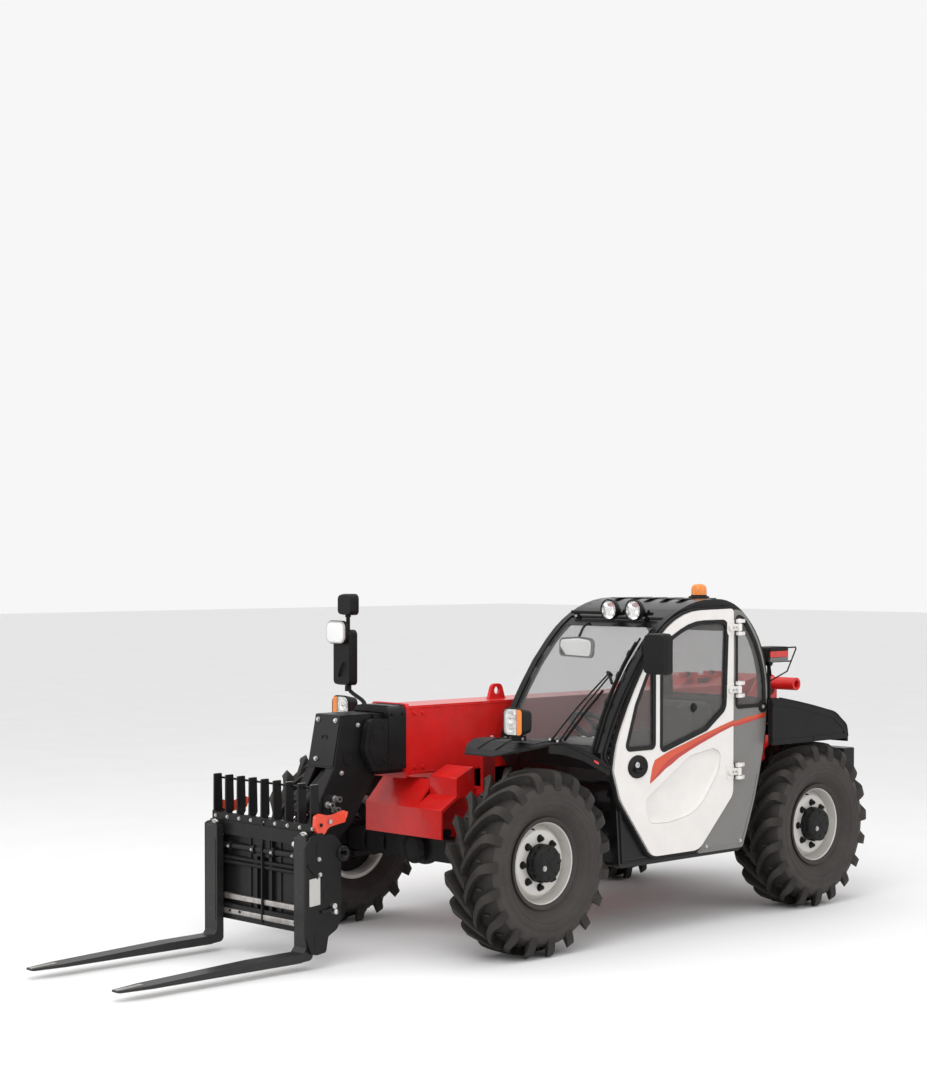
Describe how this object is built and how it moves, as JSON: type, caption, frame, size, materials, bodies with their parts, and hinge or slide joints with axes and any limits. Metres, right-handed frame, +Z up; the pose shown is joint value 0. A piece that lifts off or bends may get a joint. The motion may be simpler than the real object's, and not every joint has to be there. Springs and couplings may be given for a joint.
{
  "type": "compact telescopic handler with fork carriage",
  "caption": "Compact telehandler with side cab, telescopic boom, tilting fork carriage and four steered wheels.",
  "frame": {"origin": "middle of the footprint at ground level", "axes": "+X forward towards the forks, +Y to the machine's left where the cab is, +Z up"},
  "size_m": [5.26, 2.004, 1.905],
  "materials": {
    "amber": "clear",
    "axle_black": "satin paint",
    "black_paint": "satin paint",
    "black_plastic": "fine grain",
    "body_red": "gloss paint",
    "chrome": "polished",
    "door_white": "gloss paint",
    "fork_steel": "worn paint",
    "glass": "polished",
    "lamp": "clear",
    "panel_grey": "satin paint",
    "rim_silver": "satin paint",
    "rubber": "matt",
    "seat_fabric": "woven"
  },
  "bodies": {
    "chassis": {"beacon": "amber", "cab_left_frame": "black_paint", "cab_right_frame": "black_paint", "cab_roof": "black_paint", "cab_tub": "black_paint", "console": "black_plastic", "counterweight": "black_paint", "engine_block": "black_paint", "engine_tray": "black_paint", "front_axle": "axle_black", "front_fenders": "black_plastic", "headlights": "lamp", "main_frame": "body_red", "mirror_left": "black_plastic", "mirror_right": "black_plastic", "nose_cover": "black_paint", "quarter_glass": "glass", "quarter_panel": "panel_grey", "rear_axle": "axle_black", "rear_fender": "black_plastic", "rear_glass": "glass", "rear_light": "lamp", "right_glass": "glass", "right_wall": "panel_grey", "roof_lights": "lamp", "seat_back": "seat_fabric", "seat_base": "black_plastic", "seat_cushion": "seat_fabric", "steering_wheel": "black_plastic", "tow_hitch": "black_paint", "windscreen": "glass"},
    "knuckle_front_left": {"knuckle_front_left": "axle_black"},
    "wheel_front_left": {"rim_front_left": "rim_silver", "tyre_front_left": "rubber"},
    "knuckle_front_right": {"knuckle_front_right": "axle_black"},
    "wheel_front_right": {"rim_front_right": "rim_silver", "tyre_front_right": "rubber"},
    "knuckle_rear_left": {"knuckle_rear_left": "axle_black"},
    "wheel_rear_left": {"rim_rear_left": "rim_silver", "tyre_rear_left": "rubber"},
    "knuckle_rear_right": {"knuckle_rear_right": "axle_black"},
    "wheel_rear_right": {"rim_rear_right": "rim_silver", "tyre_rear_right": "rubber"},
    "door": {"cab_door": "door_white", "door_glass": "glass"},
    "hood": {"engine_hood": "body_red", "hood_fender": "black_plastic"},
    "boom": {"boom_outer": "body_red"},
    "boom_extension": {"boom_head": "black_paint", "boom_inner": "body_red", "hose_cover": "black_plastic"},
    "carriage_body": {"backrest": "black_paint", "carriage": "black_paint", "fork_left": "fork_steel", "fork_right": "fork_steel"},
    "lift_cylinder": {"lift_barrel": "black_paint"},
    "lift_piston": {"lift_rod": "chrome"},
    "tilt_cylinder": {"tilt_barrel": "black_paint"},
    "tilt_piston": {"tilt_rod": "chrome"}
  },
  "joints": [
    {"name": "steer_front_left", "type": "hinge", "parent": "chassis", "child": "knuckle_front_left", "pos_m": [0.42, 0.518, 0.485], "axis": [0, 0, 1], "range_deg": [-35, 35]},
    {"name": "roll_front_left", "type": "hinge", "parent": "knuckle_front_left", "child": "wheel_front_left", "pos_m": [0.42, 0.661, 0.485], "axis": [0, 1, 0], "continuous": true},
    {"name": "steer_front_right", "type": "hinge", "parent": "chassis", "child": "knuckle_front_right", "pos_m": [0.42, -0.682, 0.485], "axis": [0, 0, 1], "range_deg": [-35, 35]},
    {"name": "roll_front_right", "type": "hinge", "parent": "knuckle_front_right", "child": "wheel_front_right", "pos_m": [0.42, -0.825, 0.485], "axis": [0, 1, 0], "continuous": true},
    {"name": "steer_rear_left", "type": "hinge", "parent": "chassis", "child": "knuckle_rear_left", "pos_m": [-1.88, 0.518, 0.485], "axis": [0, 0, 1], "range_deg": [-35, 35]},
    {"name": "roll_rear_left", "type": "hinge", "parent": "knuckle_rear_left", "child": "wheel_rear_left", "pos_m": [-1.88, 0.661, 0.485], "axis": [0, 1, 0], "continuous": true},
    {"name": "steer_rear_right", "type": "hinge", "parent": "chassis", "child": "knuckle_rear_right", "pos_m": [-1.88, -0.682, 0.485], "axis": [0, 0, 1], "range_deg": [-35, 35]},
    {"name": "roll_rear_right", "type": "hinge", "parent": "knuckle_rear_right", "child": "wheel_rear_right", "pos_m": [-1.88, -0.825, 0.485], "axis": [0, 1, 0], "continuous": true},
    {"name": "door_hinge", "type": "hinge", "parent": "chassis", "child": "door", "pos_m": [-1.125, 0.802, 1.223], "axis": [0, 0, 1], "range_deg": [0, 95]},
    {"name": "hood_hinge", "type": "hinge", "parent": "chassis", "child": "hood", "pos_m": [-2.28, -0.416, 1.315], "axis": [-1, 0, 0], "range_deg": [0, 60]},
    {"name": "boom_lift", "type": "hinge", "parent": "chassis", "child": "boom", "pos_m": [-2.46, -0.212, 1.223], "axis": [0, -1, 0], "range_deg": [0, 65]},
    {"name": "boom_slide", "type": "slide", "parent": "boom", "child": "boom_extension", "axis": [1, 0, 0], "range_m": [0, 2]},
    {"name": "carriage_tilt", "type": "hinge", "parent": "boom_extension", "child": "carriage_body", "pos_m": [1.36, -0.212, 0.423], "axis": [0, 1, 0], "range_deg": [-12, 114]},
    {"name": "lift_swing", "type": "hinge", "parent": "chassis", "child": "lift_cylinder", "pos_m": [-2.36, -0.212, 0.773], "axis": [0, -1, 0], "range_deg": [-1, 60.2]},
    {"name": "lift_stroke", "type": "slide", "parent": "lift_cylinder", "child": "lift_piston", "axis": [0.9993, 0, 0.0375], "range_m": [-0.002, 0.497]},
    {"name": "tilt_swing", "type": "hinge", "parent": "boom_extension", "child": "tilt_cylinder", "pos_m": [0.85, -0.212, 1.083], "axis": [0, 1, 0], "range_deg": [-1.5, 5.9]},
    {"name": "tilt_stroke", "type": "slide", "parent": "tilt_cylinder", "child": "tilt_piston", "axis": [0.7479, 0, -0.6639], "range_m": [-0.035, 0.305]}
  ],
  "couplings": [
    {"joint": "steer_front_right", "follows": "steer_front_left", "ratio": 1},
    {"joint": "steer_rear_left", "follows": "steer_front_left", "ratio": -1},
    {"joint": "steer_rear_right", "follows": "steer_front_left", "ratio": -1},
    {"joint": "lift_swing", "follows": "boom_lift", "ratio": 0.9037},
    {"joint": "lift_stroke", "follows": "boom_lift", "m_per_rad": 0.43493},
    {"joint": "tilt_swing", "follows": "carriage_tilt", "ratio": 0.0432},
    {"joint": "tilt_stroke", "follows": "carriage_tilt", "m_per_rad": 0.1517}
  ]
}
